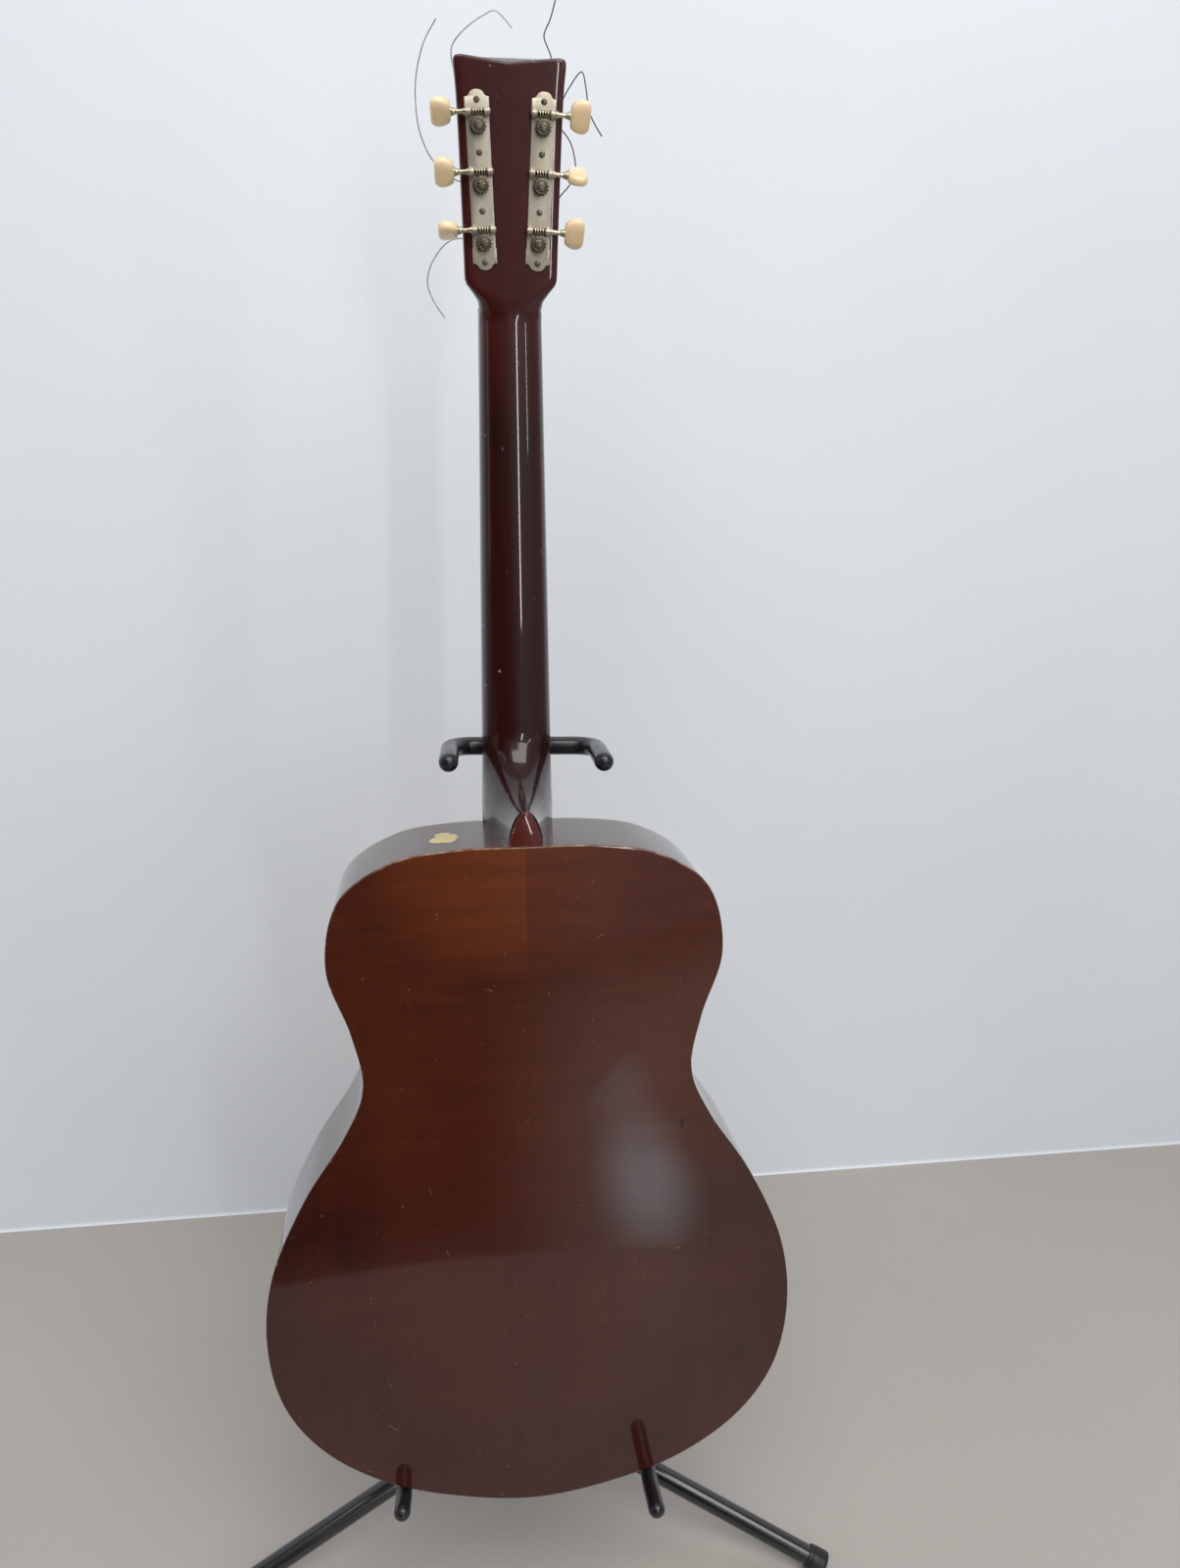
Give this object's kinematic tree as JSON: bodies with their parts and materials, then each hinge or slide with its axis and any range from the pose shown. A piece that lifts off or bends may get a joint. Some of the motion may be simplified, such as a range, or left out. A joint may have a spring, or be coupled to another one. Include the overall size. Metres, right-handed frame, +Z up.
{
  "type": "guitar on stand",
  "caption": "Steel-string acoustic guitar resting back to front in a folding tubular stand with a body yoke, a height-adjustable neck yoke and fold-down legs.",
  "frame": {"origin": "on the floor under the middle of the object's bounding box", "axes": "+Z up, -Y toward the side that shows the guitar's back, +X to the right of a person facing that side"},
  "size_m": [0.508, 0.4502, 1.1589],
  "materials": {
    "back_wood": "gloss",
    "side_wood": "gloss",
    "spruce_top": "gloss",
    "inner_wood": "matte",
    "pickguard": "gloss",
    "dark_wood": "satin",
    "bone": "satin",
    "neck_wood": "gloss",
    "heel_cap": "gloss",
    "steel": "satin",
    "fret_metal": "polished",
    "veneer": "gloss",
    "plate_nickel": "aged",
    "string_steel": "worn",
    "worm_brass": "aged",
    "cream_plastic": "satin",
    "gear_brass": "dark aged",
    "black_tube": "gloss",
    "black_plastic": "matte",
    "black_rubber": "satin"
  },
  "bodies": {
    "stand": {"lower_post": "black_tube", "leg_hub": "black_plastic", "leg_pins": "steel", "body_yoke": "black_tube", "body_yoke_sleeves": "black_rubber", "clamp_collar": "black_plastic"},
    "guitar": {"back_plate": "back_wood", "sides": "side_wood", "soundboard": "spruce_top", "linings": "inner_wood", "end_blocks": "inner_wood", "braces": "inner_wood", "pickguard": "pickguard", "bridge": "dark_wood", "nut_and_saddle": "bone", "bridge_pins": "bone", "end_pin": "bone", "neck": "neck_wood", "heel_cap": "heel_cap", "truss_rod": "steel", "fingerboard": "dark_wood", "frets": "fret_metal", "headstock_veneer": "veneer", "tuner_plates": "plate_nickel", "plate_screws": "plate_nickel", "post_bushings": "plate_nickel", "strings": "string_steel", "string_end_1": "string_steel", "string_end_2": "string_steel", "string_end_3": "string_steel", "string_end_4": "string_steel", "string_end_5": "string_steel", "string_end_6": "string_steel"},
    "neck_support": {"neck_support": "black_tube", "neck_yoke_sleeves": "black_rubber"},
    "clamp_knob": {"clamp_knob": "black_plastic"},
    "leg_left": {"leg_left": "black_tube", "foot_cap_left": "black_rubber"},
    "leg_right": {"leg_right": "black_tube", "foot_cap_right": "black_rubber"},
    "leg_rear": {"leg_rear": "black_tube", "foot_cap_rear": "black_rubber"},
    "tuner_1": {"tuner_worm_1": "worm_brass", "tuner_button_1": "cream_plastic"},
    "gear_1": {"tuner_gear_1": "gear_brass"},
    "tuner_2": {"tuner_worm_2": "worm_brass", "tuner_button_2": "cream_plastic"},
    "gear_2": {"tuner_gear_2": "gear_brass"},
    "tuner_3": {"tuner_worm_3": "worm_brass", "tuner_button_3": "cream_plastic"},
    "gear_3": {"tuner_gear_3": "gear_brass"},
    "tuner_4": {"tuner_worm_4": "worm_brass", "tuner_button_4": "cream_plastic"},
    "gear_4": {"tuner_gear_4": "gear_brass"},
    "tuner_5": {"tuner_worm_5": "worm_brass", "tuner_button_5": "cream_plastic"},
    "gear_5": {"tuner_gear_5": "gear_brass"},
    "tuner_6": {"tuner_worm_6": "worm_brass", "tuner_button_6": "cream_plastic"},
    "gear_6": {"tuner_gear_6": "gear_brass"}
  },
  "joints": [
    {"name": "guitar_lift", "type": "slide", "parent": "stand", "child": "guitar", "axis": [0, -0.866, 0.5], "range_m": [0, 0.22]},
    {"name": "neck_height", "type": "slide", "parent": "stand", "child": "neck_support", "axis": [0, 0.0698, 0.9976], "range_m": [-0.035, 0.02]},
    {"name": "clamp_turn", "type": "hinge", "parent": "stand", "child": "clamp_knob", "pos_m": [0, -0.00903, 0.29474], "axis": [0, 0.9976, -0.0698], "range_deg": [0, 360]},
    {"name": "leg_left_fold", "type": "hinge", "parent": "stand", "child": "leg_left", "pos_m": [-0.02485, -0.05924, 0.086], "axis": [0.3907, -0.9205, 0], "range_deg": [0, 68]},
    {"name": "leg_right_fold", "type": "hinge", "parent": "stand", "child": "leg_right", "pos_m": [0.02485, -0.05924, 0.086], "axis": [0.3907, 0.9205, 0], "range_deg": [0, 68]},
    {"name": "leg_rear_fold", "type": "hinge", "parent": "stand", "child": "leg_rear", "pos_m": [0, -0.02169, 0.086], "axis": [-1, 0, 0], "range_deg": [0, 68]},
    {"name": "tuner_1_turn", "type": "hinge", "parent": "guitar", "child": "tuner_1", "pos_m": [-0.02737, -0.02146, 1.0248], "axis": [-0.9979, -0.0343, -0.0556], "continuous": true},
    {"name": "gear_1_turn", "type": "hinge", "parent": "guitar", "child": "gear_1", "pos_m": [-0.02712, -0.01676, 1.01755], "axis": [-0.0372, 0.9979, 0.0523], "continuous": true},
    {"name": "tuner_2_turn", "type": "hinge", "parent": "guitar", "child": "tuner_2", "pos_m": [-0.02914, -0.02325, 1.05774], "axis": [-0.9979, -0.0343, -0.0556], "continuous": true},
    {"name": "gear_2_turn", "type": "hinge", "parent": "guitar", "child": "gear_2", "pos_m": [-0.0289, -0.01855, 1.05048], "axis": [-0.0372, 0.9979, 0.0523], "continuous": true},
    {"name": "tuner_3_turn", "type": "hinge", "parent": "guitar", "child": "tuner_3", "pos_m": [-0.03092, -0.02504, 1.09067], "axis": [-0.9979, -0.0343, -0.0556], "continuous": true},
    {"name": "gear_3_turn", "type": "hinge", "parent": "guitar", "child": "gear_3", "pos_m": [-0.03068, -0.02034, 1.08342], "axis": [-0.0372, 0.9979, 0.0523], "continuous": true},
    {"name": "tuner_4_turn", "type": "hinge", "parent": "guitar", "child": "tuner_4", "pos_m": [0.00793, -0.02016, 1.02523], "axis": [0.9987, 0.0389, -0.0315], "continuous": true},
    {"name": "gear_4_turn", "type": "hinge", "parent": "guitar", "child": "gear_4", "pos_m": [0.00752, -0.01549, 1.01797], "axis": [-0.0372, 0.9979, 0.0523], "continuous": true},
    {"name": "tuner_5_turn", "type": "hinge", "parent": "guitar", "child": "tuner_5", "pos_m": [0.00904, -0.02185, 1.0582], "axis": [0.9987, 0.0389, -0.0315], "continuous": true},
    {"name": "gear_5_turn", "type": "hinge", "parent": "guitar", "child": "gear_5", "pos_m": [0.00863, -0.01718, 1.05094], "axis": [-0.0372, 0.9979, 0.0523], "continuous": true},
    {"name": "tuner_6_turn", "type": "hinge", "parent": "guitar", "child": "tuner_6", "pos_m": [0.01014, -0.02354, 1.09117], "axis": [0.9987, 0.0389, -0.0315], "continuous": true},
    {"name": "gear_6_turn", "type": "hinge", "parent": "guitar", "child": "gear_6", "pos_m": [0.00973, -0.01886, 1.08391], "axis": [-0.0372, 0.9979, 0.0523], "continuous": true}
  ],
  "couplings": [
    {"joint": "gear_1_turn", "follows": "tuner_1_turn", "ratio": 0.071429},
    {"joint": "gear_2_turn", "follows": "tuner_2_turn", "ratio": 0.071429},
    {"joint": "gear_3_turn", "follows": "tuner_3_turn", "ratio": 0.071429},
    {"joint": "gear_4_turn", "follows": "tuner_4_turn", "ratio": -0.071429},
    {"joint": "gear_5_turn", "follows": "tuner_5_turn", "ratio": -0.071429},
    {"joint": "gear_6_turn", "follows": "tuner_6_turn", "ratio": -0.071429}
  ]
}
